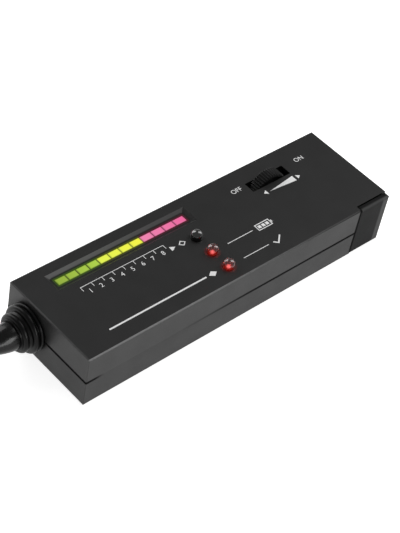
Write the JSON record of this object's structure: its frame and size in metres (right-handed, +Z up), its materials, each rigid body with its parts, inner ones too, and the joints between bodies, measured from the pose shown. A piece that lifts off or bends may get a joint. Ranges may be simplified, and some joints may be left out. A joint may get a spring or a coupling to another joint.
{
  "type": "diamond tester",
  "caption": "Handheld thermal gem tester: slim black case with a coloured lamp bar, signal lamps, knurled volume wheel, slide-off battery cap and a tapered probe with a sprung tip.",
  "frame": {"origin": "centre of the case's flat bottom face, without the probe", "axes": "+X along the case towards the battery cap, with the probe on the -X end; +Y to the back, the side of the lamp bar and the wheel; +Z up, out of the panel"},
  "size_m": [0.212, 0.047, 0.0288],
  "materials": {
    "case_top": "fine spark texture",
    "case_bottom": "fine spark texture",
    "cap": "satin",
    "steel": "zinc plated",
    "board": "solder mask",
    "black_plastic": "matt",
    "green_lamp": "lit diffusing lens",
    "yellow_lamp": "lit diffusing lens",
    "pink_lamp": "lit diffusing lens",
    "dark_lamp": "unlit smoked lens",
    "red_lamp": "lit clear red lens",
    "white_plastic": "natural nylon",
    "wheel_plastic": "knurled",
    "brass": "turned",
    "brown_plastic": "phenolic",
    "chip_plastic": "moulded",
    "can_sleeve": "shrink sleeve",
    "blue_plastic": "moulded",
    "battery_can": "plain wrapped can",
    "red_wire": "wire insulation",
    "black_wire": "wire insulation",
    "boot_rubber": "satin rubber",
    "probe_plastic": "polished",
    "collar_metal": "nickel plated",
    "tip_metal": "copper",
    "probe_wire": "wire insulation"
  },
  "bodies": {
    "case": {"top_shell": "case_top", "bottom_shell": "case_bottom", "case_screws": "steel", "circuit_board": "board", "board_screws": "steel", "bar_holder": "black_plastic", "green_bar_lamps": "green_lamp", "yellow_bar_lamps": "yellow_lamp", "red_bar_lamps": "pink_lamp", "verdict_lamp": "dark_lamp", "battery_lamp": "red_lamp", "ready_lamp": "red_lamp", "lamp_spacers": "white_plastic", "potentiometer": "brown_plastic", "driver_chips": "chip_plastic", "capacitors": "can_sleeve", "trimmers": "blue_plastic", "buzzer": "black_plastic", "battery": "battery_can", "battery_snap": "black_plastic", "red_lead": "red_wire", "black_lead": "black_wire", "probe_boot": "boot_rubber", "probe_barrel": "probe_plastic", "tip_collar": "collar_metal", "tip_spring": "steel", "probe_leads": "probe_wire"},
    "wheel": {"volume_wheel": "wheel_plastic", "wheel_screw": "steel", "wheel_spindle": "brass"},
    "cap": {"battery_cap": "cap"},
    "tip": {"probe_tip": "tip_metal"}
  },
  "joints": [
    {"name": "volume_turn", "type": "hinge", "parent": "case", "child": "wheel", "pos_m": [0.0427, 0.012, 0.0203], "axis": [0, 1, 0], "range_deg": [-140, 140]},
    {"name": "cap_slide", "type": "slide", "parent": "case", "child": "cap", "axis": [1, 0, 0], "range_m": [0, 0.0176]},
    {"name": "tip_press", "type": "slide", "parent": "case", "child": "tip", "axis": [1, 0, 0], "range_m": [0, 0.0015], "stiffness_N_per_m": 150, "springref_m": -0.001, "deforming": ["tip_spring"]}
  ]
}
